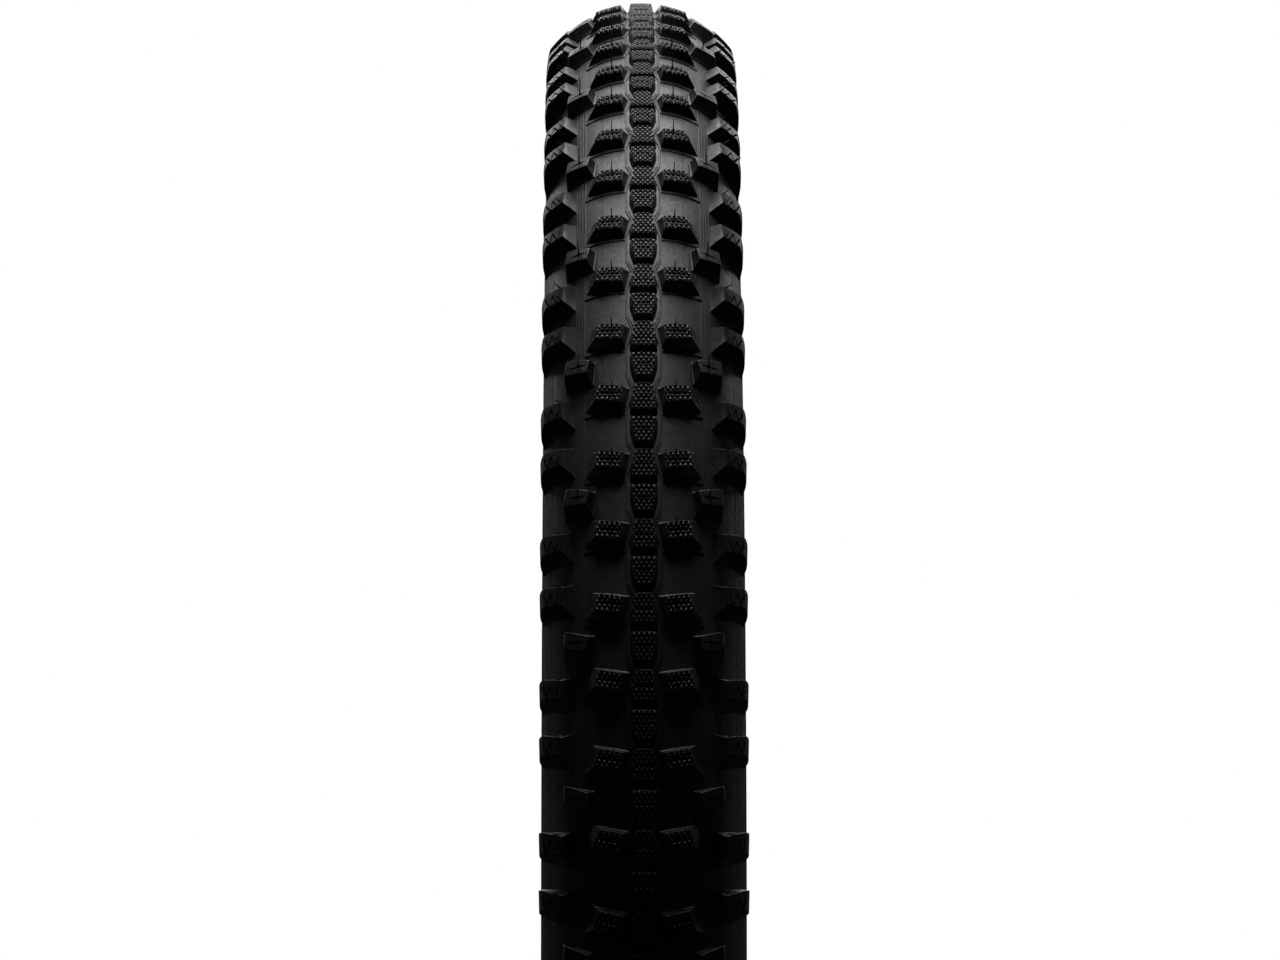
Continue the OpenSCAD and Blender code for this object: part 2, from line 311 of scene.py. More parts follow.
KNURL_ACROSS = 1.65      # from one diamond to the next in a row
KNURL_ALONG = 1.41       # from one row to the next
KNURL_HEIGHT = 0.45
KNURL_MARGIN = 0.06      # between a diamond and the edge of the block or of a slot
SMALLEST = 0.3           # area below which a piece of a diamond is left out
DIAMOND = np.array([(1.24, 0), (0, 0.8), (-1.24, 0), (0, -0.8)])


def area_of(outline):
    """The area that an outline encloses."""
    along, side = outline.T
    return 0.5 * float((along * np.roll(side, -1) - np.roll(along, -1) * side).sum())


def knurl(top, places, sipes):
    """Raised diamonds on a block's top, cut off at its edge and at each sipe."""
    normals, limits = edges_of(grown(top, -KNURL_MARGIN))
    made = []
    for place in places:
        base = DIAMOND + place
        for normal, limit in zip(normals, limits):
            if len(base):
                base = clipped(base, normal, limit)
        for outline in sipes:
            if len(base) < 3:
                break
            sipe_normals, sipe_limits = edges_of(outline)
            clear = sipe_normals @ base.mean(0) - sipe_limits
            near = int(clear.argmax())
            base = clipped(base, -sipe_normals[near], -sipe_limits[near] - KNURL_MARGIN)
        if len(base) < 3 or area_of(base) < SMALLEST:
            continue
        middle = base.mean(0)
        made.append(arrays_of(chain([
            level(base, BLOCK_HEIGHT - 0.3),
            level(base, BLOCK_HEIGHT),
            level(middle + (base - middle) * 0.5, BLOCK_HEIGHT + 0.8 * KNURL_HEIGHT),
            level(middle + (base - middle) * 0.24, BLOCK_HEIGHT + KNURL_HEIGHT),
        ])))
    return made


def lattice(first, count, middle, lean=0.0, reach=5):
    """Places of a knurl's diamonds. Rows follow each other along the tread, each moved by half a step
    to the side from the last. middle is where they are centred, and lean is how far a row climbs for
    every millimetre to the side."""
    places = []
    for row in range(count):
        for i in range(-reach, reach + 1):
            side = (i + 0.5 * (row % 2)) * KNURL_ACROSS
            along = first + row * KNURL_ALONG + lean * side
            places.append(np.array([along, float(top_side(middle + side))]))
    return places


def centre_block(stations, halves, slot, slot_length, first_row, on_line):
    """A block on the centre line, from its half width at each station along the tread. slot is where it
    has a slot across. The knurl's rows start at first_row, and on_line is whether that row has a
    diamond on the centre line."""
    left = list(zip(stations, halves))
    corners = [(along, -half) for along, half in left] + left[::-1]
    top = flat_top(corners)
    foot = grown(flat_base(corners), 0.62)
    outline, cutter = sipe(slot, 0, slot_length, 0.62)
    body = sliced(cut(block_body(top, foot, lip=0.2), [cutter]))
    count = int((stations[-1] - first_row) / KNURL_ALONG) + 2
    places = lattice(first_row, count, 0 if on_line else KNURL_ACROSS / 2)
    return joined([arrays_of(body)] + knurl(top, places, [outline]))


def plate(corners):
    """A thin plate that a block stands on."""
    outline = flat_base(corners)
    return arrays_of(sliced(chain([
        level(rounded(outline, 0.3), -ROOT),
        level(rounded(outline, 0.3), PLATE_HEIGHT - 0.06),
        level(rounded(grown(outline, -0.08), 0.3), PLATE_HEIGHT),
    ])))


def side_block(top, foot, slots, lip, places=(), corner=0.5, below=None):
    """A block beside the centre, from the corners of its top, of its foot and of the plate below.
    places are those of its knurl's diamonds."""
    top = flat_top(top)
    foot = flat_base(foot)
    body = sliced(cut(block_body(top, foot, lip, corner), [cutter for _, cutter in slots]))
    parts = [arrays_of(body)] + knurl(top, places, [outline for outline, _ in slots])
    if below:
        parts.append(plate(below))
    return joined(parts)


long_block = centre_block(
    stations=(1.5, 6.4, 12.1),
    halves=(3.95, 3.95, 2.75),
    slot=6.4,
    slot_length=5.6,
    first_row=2.0,
    on_line=False,
)
short_block = centre_block(
    stations=(15.3, 20.4, 25.2),
    halves=(2.75, 3.95, 3.95),
    slot=20.4,
    slot_length=4.6,
    first_row=15.55,
    on_line=True,
)

# The other blocks are laid out for the left side, by their corners [along, distance to the left].
# Corners go round anticlockwise from the side nearest the centre.
inner_block = side_block(
    top=[(4.5, 7.3), (11.1, 6.9), (13.1, 14.9), (6.7, 16.6)],
    foot=[(2.6, 6.2), (11.9, 4.9), (14.7, 16.4), (5.9, 18.8)],
    slots=[
        sipe(8.9, 11.4, 6.0, 0.6, turn=-13),
        sipe(6.9, 10.6, 3.4, SLOT, turn=84),
    ],
    lip=0.12,
    places=lattice(2.3, 10, 11.3, lean=0.22, reach=6),
    below=[(1.35, 5.9), (12.0, 4.4), (15.2, 17.0), (3.7, 19.7)],
)

outer_block = side_block(
    top=[(-6.6, 19.3), (-1.7, 18.1), (1.7, 25.7), (-4.5, 26.4)],
    foot=[(-10.1, 16.6), (-0.9, 16.0), (2.7, 25.8), (-7.6, 25.5)],
    slots=[
        sipe(-3.0, 22.2, 6.2, 0.85, turn=-7, lens=True),
        sipe(-4.9, 21.9, 3.2, SLOT, turn=84),
    ],
    lip=0.1,
)


def shoulder_block(centre):
    """A block at the tread's edge, with a ramp that climbs to it from the centre."""
    def placed(corners):
        return [(centre + along, side) for along, side in corners]

    slots = [
        sipe(centre - 1.0, 28.7, 5.0, 0.42, turn=72),
        sipe(centre - 0.4, 30.1, 5.4, 0.5, turn=108),
        sipe(centre + 0.3, 31.4, 5.4, 0.55, turn=72),
        sipe(centre + 0.9, 32.6, 5.4, 0.6, turn=108),
    ]
    body = side_block(
        top=placed([(-3.2, 27.4), (3.2, 26.6), (5.7, 33.4), (-1.5, 33.2)]),
        foot=placed([(-5.6, 26.4), (5.2, 25.8), (6.8, 32.6), (-2.2, 32.5)]),
        slots=slots,
        lip=0.2,
        corner=0.4,
    )
    ramp_foot = flat_base(placed([(-7.1, 22.6), (5.2, 22.9), (5.5, 27.6), (-6.0, 27.8)]))
    ramp_top = flat_top(placed([(-3.1, 27.5), (3.1, 26.7), (3.3, 28.0), (-2.9, 28.5)]))
    ramp = chain([
        level(rounded(grown(ramp_foot, 0.15), 0.3), -ROOT),
        level(rounded(ramp_foot, 0.3), 0.1),
        level(rounded(ramp_foot + (ramp_top - ramp_foot) * 0.95, 0.3), 0.95 * BLOCK_HEIGHT),
        level(rounded(grown(ramp_top, -0.2), 0.2), BLOCK_HEIGHT - 0.04),
    ])
    return joined([body, arrays_of(sliced(ramp))])


SHOULDER_CENTRES = [15.2, 35.1]     # along the tread, in every second pitch
shoulder_pair = joined([shoulder_block(centre) for centre in SHOULDER_CENTRES])


def round_the_tire(name, template, starts, mirrored=False):
    """Copies of a flat template, laid on the tire at each start."""
    points, triangles = template
    parts = []
    for start in starts:
        moved = points + [start, 0, 0]
        laid = on_tire(moved)
        if mirrored:
            laid[:, 1] *= -1
        parts.append((laid, triangles[:, ::-1] if mirrored else triangles))
    return mesh_object(name, *joined(parts))


every_pitch = [i * PITCH for i in range(PITCHES)]
every_other = every_pitch[::2]


# ---------------------------------------------------------------- rings turned about the axle
def polar(centre, radius, angle):
    """The point of an arc at an angle in degrees."""
    turn = math.radians(angle)
    return np.array([centre[0] + radius * math.cos(turn), centre[1] + radius * math.sin(turn)])


def arc(centre, radius, start, end, step=3.0):
    """Points of an arc, with its angles in degrees."""
    count = max(2, int(abs(end - start) / step) + 2)
    return [polar(centre, radius, angle) for angle in np.linspace(start, end, count)]


def swell(angle):
    """How much wider than round the section is at an angle, towards its sides."""
    return SWELL * abs(math.sin(math.radians(angle))) ** 6


def relief(centre, radius, start, end, marks, step=2.0):
    """The outside of the section, with low ribs on it. Each mark is its middle angle, its half width
    in degrees and its height."""
    angles = set(np.linspace(start, end, int(abs(end - start) / step) + 2))
    for middle, half, _ in marks:
        angles = {angle for angle in angles if abs(angle - middle) > half}
        angles |= {middle + half * share for share in (-1, -0.5, 0, 0.5, 1)}
    line = []
    for angle in sorted(angles, reverse=start > end):
        lift = sum(
            height * (0.5 + 0.5 * math.cos(math.pi * (angle - middle) / half))
            for middle, half, height in marks if abs(angle - middle) <= half
        )
        line.append(polar(centre, radius + swell(angle) + lift, angle))
    return line


SAME_POINT = 1e-5        # points nearer than this are one


def turned(name, outline, segments, mirrored=False):
    """A closed section of [radius, side] points turned about the axle. Its UV holds lengths in metres,
    along the tread and across the section."""
    line = np.array(outline, float)
    line = line[np.linalg.norm(line - np.roll(line, 1, 0), axis=1) > SAME_POINT]
    area = (line[:, 0] * np.roll(line[:, 1], -1) - np.roll(line[:, 0], -1) * line[:, 1]).sum()
    if area < 0:
        line = line[::-1]
    if mirrored:
        line = line[::-1] * [1, -1]
    count = len(line)
    across = np.concatenate([[0], np.cumsum(np.linalg.norm(np.roll(line, -1, 0) - line, axis=1))])
    angles = np.linspace(0, 2 * math.pi, segments, endpoint=False)
    radius = line[None, :, 0]
    points = np.stack(np.broadcast_arrays(
        radius * np.cos(angles)[:, None],
        line[None, :, 1],
        radius * np.sin(angles)[:, None],
    ), 2).reshape(-1, 3) * MM
    i, j = np.meshgrid(np.arange(segments), np.arange(count), indexing="ij")
    ahead = (i + 1) % segments
    beside = (j + 1) % count
    quads = np.stack([i * count + j, i * count + beside, ahead * count + beside, ahead * count + j], 2)
    mesh = bpy.data.meshes.new(name)
    mesh.from_pydata(points.tolist(), [], quads.reshape(-1, 4).tolist())
    along = TREAD_R * 2 * math.pi / segments
    u = np.stack([i * along, i * along, (i + 1) * along, (i + 1) * along], 2)
    v = np.stack([across[j], across[j + 1], across[j + 1], across[j]], 2)
    layer = mesh.uv_layers.new(name="lengths")
    layer.data.foreach_set("uv", (MM * np.stack([u, v], 3)).astype(np.float32).ravel())
    mesh.update()
    made = bpy.data.objects.new(name, mesh)
    bpy.context.scene.collection.objects.link(made)
    return made


# Centres of the section's arcs as [radius, side]: the casing, the bead and the hollow between them
CASING = [CASING_R, 0.0]
LINING = 2 * PLY + CHAFER
STACK = WRAP_R + LINING
BEAD_GAP = CASING_ARC + WRAP_R
BEAD_RISE = SEAT_R + STACK - CASING_R
BEAD = [SEAT_R + STACK, math.sqrt(BEAD_GAP**2 - BEAD_RISE**2)]
BEAD_ANGLE = math.degrees(math.atan2(BEAD[1], BEAD_RISE))
TURN_ARC = CASING_ARC + BOND_GAP
HOLLOW_REACH = TURN_ARC + HOLLOW_R
HOLLOW_ANGLE = BEAD_ANGLE - math.degrees(math.acos(
    (BEAD_GAP**2 + HOLLOW_REACH**2 - (WRAP_R + HOLLOW_R) ** 2) / (2 * BEAD_GAP * HOLLOW_REACH)
))
HOLLOW = polar(CASING, HOLLOW_REACH, HOLLOW_ANGLE)


def direction(start, end):
    """The angle in degrees at which one point is seen from another."""
    return math.degrees(math.atan2(end[1] - start[1], end[0] - start[0]))


TO_CASING = direction(BEAD, CASING) + 360
TO_HOLLOW = direction(BEAD, HOLLOW)
FROM_BEAD = direction(HOLLOW, BEAD) + 360
FROM_CASING = direction(HOLLOW, CASING) + 360


def face_inside(depth, start):
    """A layer's face inside the casing, at a depth below the outer face of the outer ply."""
    return arc(CASING, CASING_ARC - depth, start, BEAD_ANGLE)


def face_outside(depth, edge):
    """The outer side of the turned-up layers, from the bead to the angle of their edge."""
    up = arc(HOLLOW, HOLLOW_R - depth, FROM_BEAD, FROM_CASING, 10)
    return up + arc(CASING, TURN_ARC + depth, HOLLOW_ANGLE, edge)[1:]


def turned_face(depth, start, edge):
    """A layer's whole face, from inside the casing, round the bead and up the sidewall."""
    under = arc(BEAD, WRAP_R + depth, TO_CASING, TO_HOLLOW, 12)
    return face_inside(depth, start) + under + face_outside(depth, edge)


def inner_ply_outline():
    """Section of the inner ply, which goes from one sidewall round both beads to the other."""
    def both(line):
        return [point * [1, -1] for point in line[::-1]] + line

    near = both(turned_face(PLY, 0, INNER_PLY_EDGE))
    far = both(turned_face(2 * PLY, 0, INNER_PLY_EDGE))
    return near + far[::-1]


def chafer_outline():
    """Section of the strip that bears on the rim, flat over the bead seat."""
    toe = BEAD[1] - SEAT_LENGTH / 2
    heel = BEAD[1] + SEAT_LENGTH / 2
    foot = math.degrees(math.acos(SEAT_LENGTH / 2 / STACK))
    line = turned_face(2 * PLY, CHAFER_INNER_EDGE, CHAFER_EDGE)
    line += face_outside(LINING, CHAFER_EDGE)[::-1]
    line += arc(BEAD, STACK, TO_HOLLOW, 90 + foot, 10)
    line += [np.array([SEAT_R, heel]), np.array([SEAT_R, toe])]
    line += arc(BEAD, STACK, 270 - foot, TO_CASING, 10)
    line += face_inside(LINING, CHAFER_INNER_EDGE)[::-1]
    return line


# Ribs of the sidewall: middle angle, half width in degrees and height
SIDEWALL_MARKS = [(RIM_RIB, 1.9, 0.5)]
SIDEWALL_MARKS += [(110.5 - 1.0 * i, 0.42, 0.14) for i in range(3)]
SIDEWALL_MARKS += [(91.5, 0.5, 0.22), (104.0, 0.5, 0.22)]
SIDEWALL_MARKS += [(83.0 + 1.1 * i, 0.42, 0.12) for i in range(4)]


def sidewall_outline():
    """Section of a sidewall, from the tread down to the chafer."""
    inner = arc(CASING, CASING_ARC, TREAD_EDGE, OUTER_PLY_EDGE)
    inner += arc(CASING, TURN_ARC + PLY, OUTER_PLY_EDGE, INNER_PLY_EDGE)
    inner += arc(CASING, TURN_ARC + 2 * PLY, INNER_PLY_EDGE, CHAFER_EDGE)
    inner += arc(CASING, TURN_ARC + LINING, CHAFER_EDGE, SIDEWALL_EDGE)
    return inner + relief(CASING, CASING_ARC + SIDEWALL, SIDEWALL_EDGE, TREAD_EDGE, SIDEWALL_MARKS)


def skin_marks():
    """Fine ribs left by the mould between the blocks: one beside the inner blocks, four between the
    inner and outer blocks, and four at the shoulder, on both sides."""
    marks = [(math.degrees(math.asin(side / BASE_ARC)), 0.5, 0.06) for side in (19.8, 20.7, 21.6, 22.5)]
    marks.append((math.degrees(math.asin(13.3 / BASE_ARC)), 0.3, 0.02))
    marks += [(66.0 + 3.0 * i, 0.5, 0.08) for i in range(4)]
    return marks + [(-middle, half, height) for middle, half, height in marks]


def skin_outline():
    """Section of the rubber between the blocks."""
    outer = relief(CASING, BASE_ARC, -TREAD_EDGE, TREAD_EDGE, skin_marks())
    inner = arc(CASING, CASING_ARC, TREAD_EDGE, BELT_EDGE, 6)
    inner += arc(CASING, CASING_ARC + BELT, BELT_EDGE, -BELT_EDGE, 6)
    inner += arc(CASING, CASING_ARC, -BELT_EDGE, -TREAD_EDGE, 6)
    return outer + inner


RAIL_HEIGHT = 0.5
# Where the rail is widest and narrowest in each pitch: along the tread, and its half width
RAIL_STATIONS = [(2.3, 6.1), (11.0, 3.8), (17.2, 5.9)]
# The rail's edge with its groove: height, and how far outside the half width
RAIL_EDGE = [(-ROOT, 0.18), (0.0, 0.12), (RAIL_HEIGHT - 0.1, 0.0), (RAIL_HEIGHT, -0.1)]
RAIL_EDGE += [(RAIL_HEIGHT, -0.4), (0.02, -0.48), (0.02, -0.78), (RAIL_HEIGHT, -0.86)]


def rail():
    """The low platform of the centre blocks: a closed band that is narrow beside each inner block."""
    first_along, first_half = RAIL_STATIONS[0]
    ends = RAIL_STATIONS[1:] + [(first_along + PITCH, first_half)]
    stations = []
    for pitch in range(PITCHES):
        for (along, half), (next_along, next_half) in zip(RAIL_STATIONS, ends):
            for share in (0.0, 0.33, 0.67):
                width = half + (next_half - half) * share
                stations.append((pitch * PITCH + along + (next_along - along) * share, width))

    ring = [(-1, height, wider) for height, wider in RAIL_EDGE]
    ring += [(0, RAIL_HEIGHT, 0.0)]
    ring += [(1, height, wider) for height, wider in RAIL_EDGE[::-1]]
    ring += [(0, -ROOT, 0.0)]
    points = []
    for along, half in stations:
        for sign, height, wider in ring:
            points.append((along, float(base_side(sign * (half + wider))), height))

    count = len(ring)
    triangles = []
    for i in range(len(stations)):
        ahead = (i + 1) % len(stations)
        for j in range(count):
            beside = (j + 1) % count
            a = i * count + j
            b = i * count + beside
            c = ahead * count + beside
            d = ahead * count + j
            triangles += [(a, d, c), (a, c, b)]
    return mesh_object("centre_platform", on_tire(points), np.array(triangles))


# ---------------------------------------------------------------- vent hairs
FLOOR_Z = cad_low.z - 0.9 * MM      # a little below the knurl
FLOOR_MARGIN = 0.5
HAIR_R = 0.28
HAIR_LEAN = 0.03         # how far a hair's tip wanders, as a share of its length
SHOULDER_SIDE = 25.0     # hairs further out than this stand square to the rounded tread
WORN = 0.3               # half the width, over the height, of the wedge at the top with no hairs
dice = np.random.RandomState(27)


def hair(root, out, length, radius, lean):
    """A fine rubber hair that leans over a little towards its tip."""
    out = out / np.linalg.norm(out)
    across = np.cross(out, [0.3, 1.0, 0.2])
    across /= np.linalg.norm(across)
    other = np.cross(out, across)
    rings = []
    for share in (-0.12, 0.0, 0.3, 0.65, 0.92, 1.0):
        middle = root + out * length * share + lean * max(share, 0) ** 2
        thick = radius * (1.0 - 0.55 * max(share, 0)) if share < 1 else radius * 0.12
        rings.append([
            middle + thick * (across * math.cos(turn) + other * math.sin(turn))
            for turn in np.linspace(0, 2 * math.pi, 5, endpoint=False)
        ])
    return arrays_of(chain(rings))


def hairs():
    """Vent hairs on the inner, outer and shoulder blocks. Those that would pierce the floor are left out."""
    # Each root: along, side, height, the share of blocks that have the hair, and its range of lengths
    roots = []
    for start in every_pitch:
        roots.append((start + 10.6, 10.7, BLOCK_HEIGHT, 1.0, (4.2, 5.2)))
    for start in every_other:
        roots.append((start - 2.6, 21.9, BLOCK_HEIGHT, 0.95, (5.4, 6.8)))
        for centre in SHOULDER_CENTRES:
            roots.append((start + centre - 2.4, 28.0, BLOCK_HEIGHT, 0.85, (2.4, 3.2)))
            roots.append((start + centre + 3.9, 28.2, BLOCK_HEIGHT - 0.3, 0.8, (2.2, 3.2)))
            roots.append((start + centre + 2.2, 33.0, BLOCK_HEIGHT - 0.3, 0.7, (0.6, 2.2)))
    made = []
    for along, side, height, kept, (shortest, longest) in roots:
        for mirror in (1, -1):
            chance, size = dice.rand(2)
            wander = dice.randn(3)
            if chance > kept:
                continue
            flat = top_side(side) if height > 0 else base_side(side)
            low, high = on_tire([(along, float(flat), height), (along, float(flat), height + 1)])
            low[1] *= mirror
            high[1] *= mirror
            length = (shortest + (longest - shortest) * size) * MM
            out = high - low if side > SHOULDER_SIDE else low * [1, 0, 1]
            strand = hair(low, out, length, HAIR_R * MM, HAIR_LEAN * length * wander)
            near_top = low[2] > 0 and abs(low[0]) < WORN * low[2]
            if strand[0][:, 2].min() > FLOOR_Z + FLOOR_MARGIN * MM and not near_top:
                made.append(strand)
    return mesh_object("vent_hairs", *joined(made))


# ---------------------------------------------------------------- materials
NOISE_LOW = 0.3          # nearly all of the noise lies between these two
NOISE_HIGH = 0.7
GRAIN = 0.03 * MM        # depth of the finest bumps in rubber
UNEVEN = 0.12 * MM       # depth of its broader bumps, and of the ridges over cords


def node(tree, kind, **settings):
    """A new node with its settings."""
    made = tree.nodes.new(kind)
    for name, value in settings.items():
        setattr(made, name, value)
    return made


def new_material(name):
    """A material with a plain shader, and the node that gives places on the surface."""
    material = bpy.data.materials.new(name)
    material.use_nodes = True
    tree = material.node_tree
    tree.nodes.clear()
    shader = node(tree, "ShaderNodeBsdfPrincipled")
    output = node(tree, "ShaderNodeOutputMaterial")
    tree.links.new(shader.outputs["BSDF"], output.inputs["Surface"])
    place = node(tree, "ShaderNodeTexCoord")
    return material, tree, shader, place


def noise(tree, place, scale, detail=3.0, rough=0.55):
    """Cloudy noise, with scale as its waves per metre."""
    made = node(tree, "ShaderNodeTexNoise")
    made.inputs["Scale"].default_value = scale
    made.inputs["Detail"].default_value = detail
    made.inputs["Roughness"].default_value = rough
    tree.links.new(place, made.inputs["Vector"])
    return made.outputs["Fac"]


def shade(tree, value, low, high):
    """A colour between two, by a value."""
    made = node(tree, "ShaderNodeValToRGB")
    made.color_ramp.elements[0].position = NOISE_LOW
    made.color_ramp.elements[0].color = (*low, 1)
    made.color_ramp.elements[1].position = NOISE_HIGH
    made.color_ramp.elements[1].color = (*high, 1)
    tree.links.new(value, made.inputs["Fac"])
    return made.outputs["Color"]


def between(tree, value, low, high, from_low=NOISE_LOW, from_high=NOISE_HIGH):
    """A number between two, by a value."""
    made = node(tree, "ShaderNodeMapRange")
    made.inputs["From Min"].default_value = from_low
    made.inputs["From Max"].default_value = from_high
    made.inputs["To Min"].default_value = low
    made.inputs["To Max"].default_value = high
    tree.links.new(value, made.inputs["Value"])
    return made.outputs["Result"]


def bump(tree, height, depth, after=None):
    """A bump of that depth in metres, on top of another."""
    made = node(tree, "ShaderNodeBump")
    made.inputs["Strength"].default_value = 1.0
    made.inputs["Distance"].default_value = depth
    tree.links.new(height, made.inputs["Height"])
    if after is not None:
        tree.links.new(after, made.inputs["Normal"])
    return made.outputs["Normal"]


def rubber(name, dark, light, rough):
    """Moulded black rubber: patches of bloom, a fine grain and slight unevenness."""
    material, tree, shader, place = new_material(name)
    where = place.outputs["Object"]
    patches = noise(tree, where, 55.0, 4.0)
    specks = noise(tree, where, 900.0, 2.0)
    fine = noise(tree, where, 2600.0, 2.0, 0.6)
    tree.links.new(shade(tree, patches, dark, light), shader.inputs["Base Color"])
    tree.links.new(between(tree, specks, rough[0], rough[1]), shader.inputs["Roughness"])
    soft = bump(tree, noise(tree, where, 240.0, 2.0), UNEVEN)
    tree.links.new(bump(tree, fine, GRAIN, soft), shader.inputs["Normal"])
    return material


def cords(name, dark, light, rough, spacing, turn, uv=True):
    """Rubbered cord: parallel ridges at an angle, in thin rubber. spacing is in metres, and turn in
    degrees. Ridges follow the UV where a mesh has one, and else the object's own axes."""
    material, tree, shader, place = new_material(name)
    where = place.outputs["UV"] if uv else place.outputs["Object"]
    aim = node(tree, "ShaderNodeMapping")
    aim.inputs["Rotation"].default_value = (0, 0, math.radians(turn))
    tree.links.new(where, aim.inputs["Vector"])
    ridges = node(tree, "ShaderNodeTexWave", wave_type="BANDS", bands_direction="X", wave_profile="SIN")
    ridges.inputs["Scale"].default_value = 2 * math.pi / (20 * spacing)
    ridges.inputs["Distortion"].default_value = 0.5
    ridges.inputs["Detail"].default_value = 2.0
    ridges.inputs["Detail Scale"].default_value = 2.0
    tree.links.new(aim.outputs["Vector"], ridges.inputs["Vector"])
    patches = noise(tree, place.outputs["Object"], 60.0, 4.0)
    fine = noise(tree, place.outputs["Object"], 2600.0, 2.0, 0.6)
    tree.links.new(shade(tree, patches, dark, light), shader.inputs["Base Color"])
    worn = between(tree, ridges.outputs["Fac"], rough[1], rough[0], 0, 1)
    tree.links.new(worn, shader.inputs["Roughness"])
    soft = bump(tree, ridges.outputs["Fac"], UNEVEN)
    tree.links.new(bump(tree, fine, GRAIN, soft), shader.inputs["Normal"])
    return material


def steel(name):
    """Brassed bead wire: duller patches, and a roughness that varies finely."""
    material, tree, shader, place = new_material(name)
    where = place.outputs["Object"]
    patches = noise(tree, where, 180.0, 3.0)
    tree.links.new(shade(tree, patches, (0.42, 0.3, 0.14), (0.6, 0.48, 0.26)), shader.inputs["Base Color"])
    tree.links.new(between(tree, noise(tree, where, 1500.0), 0.28, 0.5), shader.inputs["Roughness"])
    tree.links.new(bump(tree, noise(tree, where, 2200.0), 0.00001), shader.inputs["Normal"])
    shader.inputs["Metallic"].default_value = 1.0
    return material


block_rubber = rubber("block_rubber_look", (0.006, 0.006, 0.0066), (0.012, 0.0115, 0.0125), (0.36, 0.52))
base_rubber = rubber("base_rubber_look", (0.012, 0.0115, 0.013), (0.021, 0.020, 0.023), (0.40, 0.56))
wall_rubber = rubber("sidewall_rubber_look", (0.012, 0.012, 0.0125), (0.020, 0.0195, 0.021), (0.44, 0.60))
filler_rubber = rubber("filler_rubber_look", (0.014, 0.014, 0.014), (0.024, 0.023, 0.022), (0.55, 0.75))
ply_look = cords("casing_cord_look", (0.020, 0.018, 0.016), (0.036, 0.032, 0.028), (0.45, 0.65), 0.0009, 45)
outer_ply_look = cords(
    "outer_ply_look", (0.03, 0.026, 0.02), (0.05, 0.043, 0.033), (0.5, 0.7), 0.0009, -45, uv=False
)
belt_look = cords(
    "belt_cord_look", (0.05, 0.042, 0.025), (0.08, 0.066, 0.04), (0.5, 0.7), 0.0008, 30, uv=False
)
chafer_look = cords("chafer_cord_look", (0.014, 0.014, 0.014), (0.024, 0.024, 0.024), (0.5, 0.7), 0.0007, 45)
tape_look = cords("bead_tape_look", (0.06, 0.055, 0.04), (0.1, 0.09, 0.07), (0.6, 0.8), 0.0006, 0, uv=False)
steel_look = steel("bead_steel_look")

# The CAD nodes that stay, and their looks
LOOKS = {
    "bead_core_left": steel_look,
    "bead_core_right": steel_look,
    "bead_wrap_left": tape_look,
    "bead_wrap_right": tape_look,
    "bead_filler_left": filler_rubber,
    "bead_filler_right": filler_rubber,
    "casing_ply_outer": outer_ply_look,
    "puncture_belt": belt_look,
}


def dress(thing, material):
    """Give every slot of an object one material."""
    if not thing.data.materials:
        thing.data.materials.append(material)
    for i in range(len(thing.data.materials)):
        thing.data.materials[i] = material


for name, look in LOOKS.items():
    dress(frame["nodes"][name], look)


# ---------------------------------------------------------------- the pieces
SHARP = 30               # edges that turn by more degrees than this stay sharp


def add(piece, material, nodes, even=True):
    """Finish a piece: its shading, its look, its body and the nodes that it stands for. even keeps
    large flat faces flat beside small ones."""
    piece.data.shade_smooth()
    piece.data.set_sharp_from_angle(angle=math.radians(SHARP))
    if even:
        shading = piece.modifiers.new("even_shading", "WEIGHTED_NORMAL")
        shading.keep_sharp = True
    dress(piece, material)
    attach(piece, "root")
    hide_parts(*nodes)


add(turned("tread_skin", skin_outline(), 5 * PITCHES), base_rubber, ["tread_base"], False)
add(rail(), base_rubber, ["centre_rail"])
for kind, template in (("long", long_block), ("short", short_block)):
    add(round_the_tire(f"centre_blocks_{kind}_shaped", template, every_pitch),
        block_rubber, [f"centre_blocks_{kind}"])

for side, mirrored in (("left", False), ("right", True)):
    for row, template, starts in (
        ("inner", inner_block, every_pitch),
        ("outer", outer_block, every_other),
        ("shoulder", shoulder_pair, every_other),
    ):
        add(round_the_tire(f"{row}_blocks_{side}_shaped", template, starts, mirrored),
            block_rubber, [f"{row}_blocks_{side}"])
    add(turned(f"sidewall_{side}_shaped", sidewall_outline(), 4 * PITCHES, mirrored),
        wall_rubber, [f"sidewall_{side}"], False)
    add(turned(f"chafer_{side}_shaped", chafer_outline(), 4 * PITCHES, mirrored),
        chafer_look, [f"chafer_{side}"], False)

add(turned("casing_lining", inner_ply_outline(), 3 * PITCHES),
    ply_look, ["casing_ply_inner"], False)
add(hairs(), block_rubber, ["vent_spews"])


# ---------------------------------------------------------------- floor, light and camera
def floor_material():
    """A matt pale floor with faint patches."""
    material, tree, shader, place = new_material("floor_look")
    tone = noise(tree, place.outputs["Object"], 3.0, 3.0)
    tree.links.new(shade(tree, tone, (0.78, 0.78, 0.78), (0.84, 0.84, 0.84)), shader.inputs["Base Color"])
    shader.inputs["Roughness"].default_value = 0.9
    return material


FLOOR_HALF = 4.0
FLOOR_CORNERS = [
    (-FLOOR_HALF, -FLOOR_HALF),
    (FLOOR_HALF, -FLOOR_HALF),
    (FLOOR_HALF, FLOOR_HALF),
    (-FLOOR_HALF, FLOOR_HALF),
]
floor = mesh_object(
    "floor",
    np.array([(x, y, FLOOR_Z) for x, y in FLOOR_CORNERS]),
    np.array([(0, 1, 2), (0, 2, 3)]),
)
floor.data.materials.append(floor_material())
floor.visible_diffuse = False
floor.visible_glossy = False


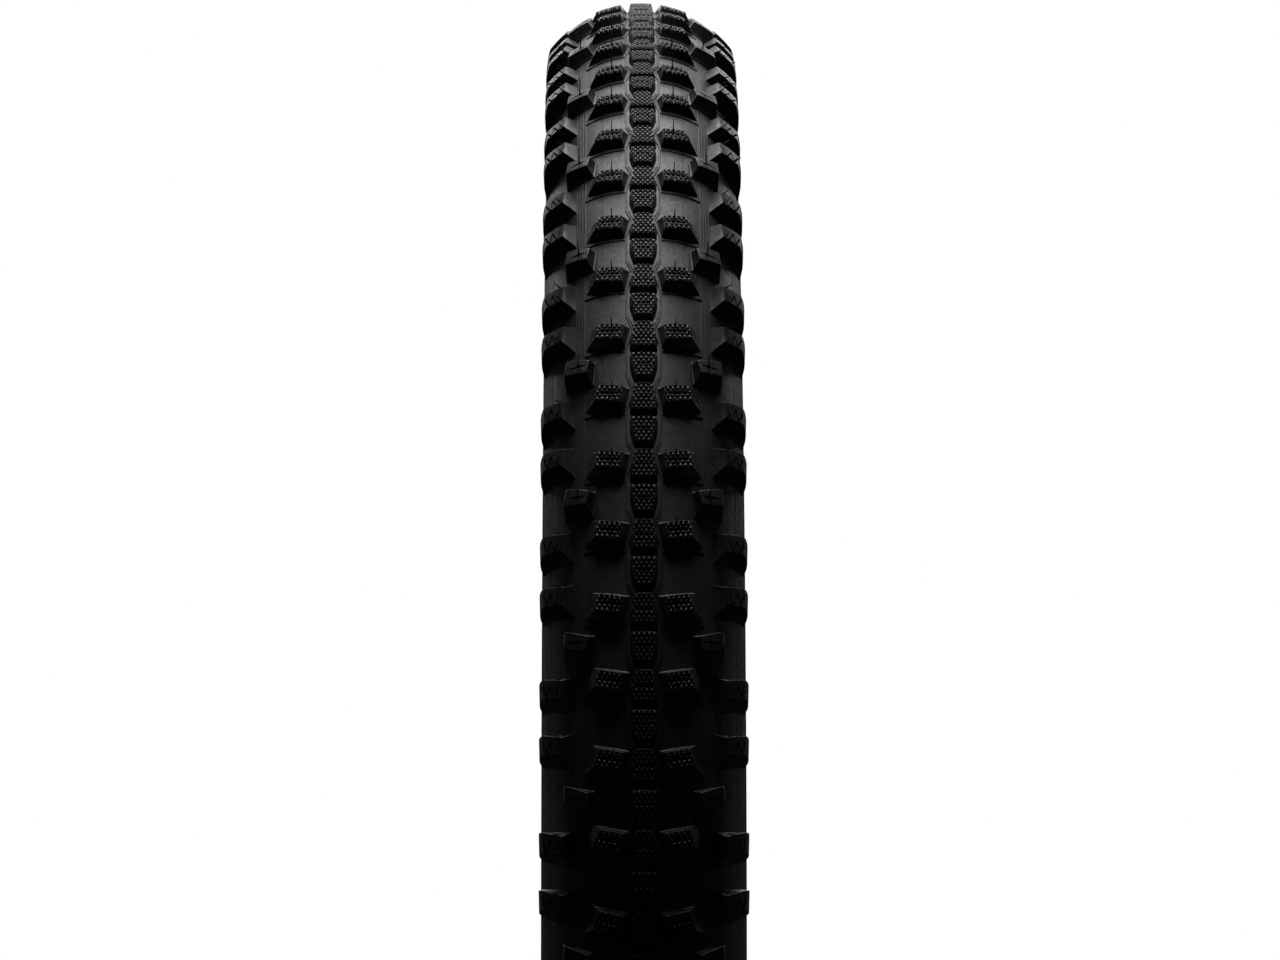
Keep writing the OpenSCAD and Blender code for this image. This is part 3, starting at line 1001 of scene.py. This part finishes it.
def area_light(name, place, aim, size, power):
    """A lamp with a soft rectangle of light, aimed at a point."""
    data = bpy.data.lights.new(name, "AREA")
    data.shape = "RECTANGLE"
    data.size = size[0]
    data.size_y = size[1]
    data.energy = power
    light = bpy.data.objects.new(name, data)
    light.location = place
    light.rotation_mode = "QUATERNION"
    light.rotation_quaternion = (Vector(aim) - Vector(place)).to_track_quat("-Z", "Y")
    bpy.context.scene.collection.objects.link(light)


area_light("key_light", (-0.75, 0.0, 2.3), (0.0, 0.0, 0.1), (2.2, 1.3), 49)
area_light("top_light", (0.3, 0.0, 2.4), (0.3, 0.0, 0.1), (0.5, 1.3), 20)
area_light("back_fill", (-3.0, 0.0, 1.6), (-0.2, 0.0, 0.1), (4.4, 1.1), 44)
area_light("left_fill", (-1.6, 3.0, 0.6), (0.0, 0.0, 0.0), (1.6, 1.6), 1.0)
area_light("right_fill", (-1.6, -3.0, 0.6), (0.0, 0.0, 0.0), (1.6, 1.6), 1.0)

# The camera sees a white backdrop, and the object gets only a faint light from it
world = bpy.data.worlds.new("studio")
world.use_nodes = True
bpy.context.scene.world = world
sky = world.node_tree
sky.nodes.clear()
seen = node(sky, "ShaderNodeBackground")
seen.inputs["Color"].default_value = (1, 1, 1, 1)
seen.inputs["Strength"].default_value = 1.0
ambient = node(sky, "ShaderNodeBackground")
ambient.inputs["Color"].default_value = (0.95, 0.96, 1, 1)
ambient.inputs["Strength"].default_value = 0.012
ray = node(sky, "ShaderNodeLightPath")
choice = node(sky, "ShaderNodeMixShader")
end = node(sky, "ShaderNodeOutputWorld")
sky.links.new(ray.outputs["Is Camera Ray"], choice.inputs["Fac"])
sky.links.new(ambient.outputs["Background"], choice.inputs[1])
sky.links.new(seen.outputs["Background"], choice.inputs[2])
sky.links.new(choice.outputs["Shader"], end.inputs["Surface"])
bpy.context.scene.view_settings.view_transform = "Standard"

# The camera stands in front of the wheel, a little below the axle, and looks at a point above the
# axle. The small turn about the axle sets how the blocks fall in the view.
CAMERA_TURN = math.radians(-0.98)
CAMERA_DISTANCE = 2.7
CAMERA_SIDE = -0.0102
AIM_HEIGHT = 0.1824
AIM_SIDE = -0.0001
LENS = 203.8


def beside_wheel(distance, angle, side):
    """A point at a distance and an angle from the axle."""
    return Vector((distance * math.cos(angle), side, distance * math.sin(angle)))


camera_data = bpy.data.cameras.new("camera")
camera_data.lens = LENS
camera_data.clip_end = 50.0
camera = bpy.data.objects.new("camera", camera_data)
camera.location = beside_wheel(CAMERA_DISTANCE, CAMERA_TURN, CAMERA_SIDE)
aim = beside_wheel(AIM_HEIGHT, CAMERA_TURN + math.pi / 2, AIM_SIDE)
camera.rotation_mode = "QUATERNION"
camera.rotation_quaternion = (aim - camera.location).to_track_quat("-Z", "Y")
bpy.context.scene.collection.objects.link(camera)
bpy.context.scene.camera = camera
